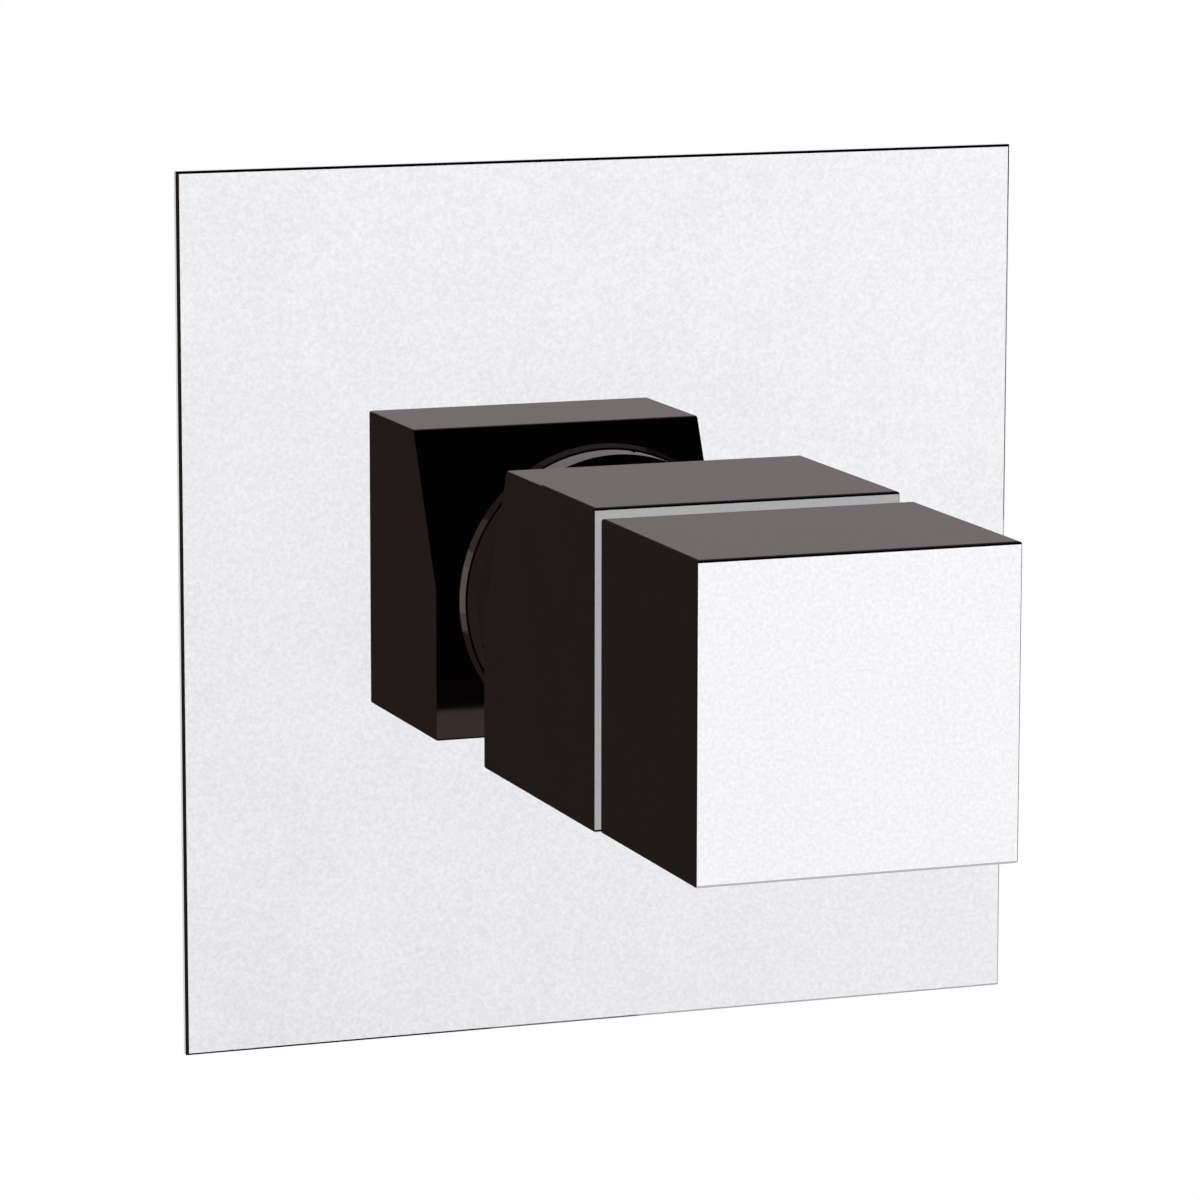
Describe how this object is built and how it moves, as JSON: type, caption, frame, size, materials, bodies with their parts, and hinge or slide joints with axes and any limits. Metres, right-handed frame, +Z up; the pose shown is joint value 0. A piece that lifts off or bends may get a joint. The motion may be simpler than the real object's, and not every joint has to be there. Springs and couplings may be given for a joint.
{
  "type": "self-closing tap",
  "caption": "Self-closing single-lever shower tap for building into a wall, with a square plate, a lever that turns and lifts, and a push button in its front.",
  "frame": {"origin": "where the tap axis meets the wall's surface", "axes": "+X right, +Z up, +Y into the wall; the tap stands out of the wall along -Y"},
  "size_m": [0.12, 0.1908, 0.12],
  "materials": {
    "chrome": "polished",
    "satin_chrome": "fine satin",
    "brass": "cast and turned",
    "stainless_steel": "turned",
    "rubber": "matt",
    "ceramic": "lapped ceramic",
    "white_plastic": "moulded",
    "dark_plastic": "moulded",
    "foam": "closed-cell foam"
  },
  "bodies": {
    "fixed_body": {"wall_plate": "satin_chrome", "plate_seal": "foam", "boss": "chrome", "plate_screws": "stainless_steel", "boss_o_ring": "rubber", "boss_grub_screw": "stainless_steel", "valve_body": "brass", "rear_plug": "brass", "plug_o_ring": "rubber", "retaining_nut": "brass", "cartridge_housing": "white_plastic", "cartridge_base": "white_plastic", "base_o_rings": "rubber", "disc_seals": "rubber", "pin_seal": "rubber", "fixed_disc": "ceramic", "inlet_socket_hot": "brass", "inlet_socket_cold": "brass", "outlet_socket": "brass", "socket_washers": "rubber", "strainer_hot": "stainless_steel", "strainer_cold": "stainless_steel", "check_valve_hot": "white_plastic", "check_valve_cold": "white_plastic", "timer_cylinder": "white_plastic"},
    "turning_fork": {"lever_fork": "brass", "pivot_pins": "stainless_steel", "ball_dome": "chrome"},
    "disc_group": {"disc_carrier": "white_plastic", "moving_disc": "ceramic"},
    "lever": {"lever_stem": "stainless_steel", "skirt_ring": "chrome", "skirt_drum": "chrome", "lever_block": "chrome", "lever_grub_screw": "stainless_steel", "grub_plug": "chrome", "guide_bush": "white_plastic", "return_spring": "stainless_steel"},
    "button": {"push_cap": "satin_chrome", "button_core": "dark_plastic", "retaining_clip": "stainless_steel", "push_rod": "stainless_steel"},
    "timer": {"pilot_pin": "stainless_steel", "timer_piston": "dark_plastic", "seat_washer": "rubber", "piston_seal": "rubber", "timer_spring": "stainless_steel"}
  },
  "joints": [
    {"name": "handle_turn", "type": "hinge", "parent": "fixed_body", "child": "turning_fork", "pos_m": [0, 0, 0], "axis": [0, 1, 0], "range_deg": [-50, 50]},
    {"name": "handle_lift", "type": "hinge", "parent": "turning_fork", "child": "lever", "pos_m": [0, -0.028, 0], "axis": [-1, 0, 0], "range_deg": [0, 25]},
    {"name": "disc_slide", "type": "slide", "parent": "turning_fork", "child": "disc_group", "axis": [0, 0, -1], "range_m": [0, 0.00521]},
    {"name": "button_press", "type": "slide", "parent": "lever", "child": "button", "axis": [0, 1, 0], "range_m": [0, 0.003], "stiffness_N_per_m": 2000, "springref_m": -0.006, "deforming": ["return_spring"]},
    {"name": "timer_slide", "type": "slide", "parent": "fixed_body", "child": "timer", "axis": [0, 1, 0], "range_m": [0, 0.003], "deforming": ["timer_spring"]}
  ],
  "couplings": [
    {"joint": "disc_slide", "follows": "handle_lift", "m_per_rad": 0.01172},
    {"joint": "timer_slide", "follows": "button_press", "ratio": 1}
  ]
}
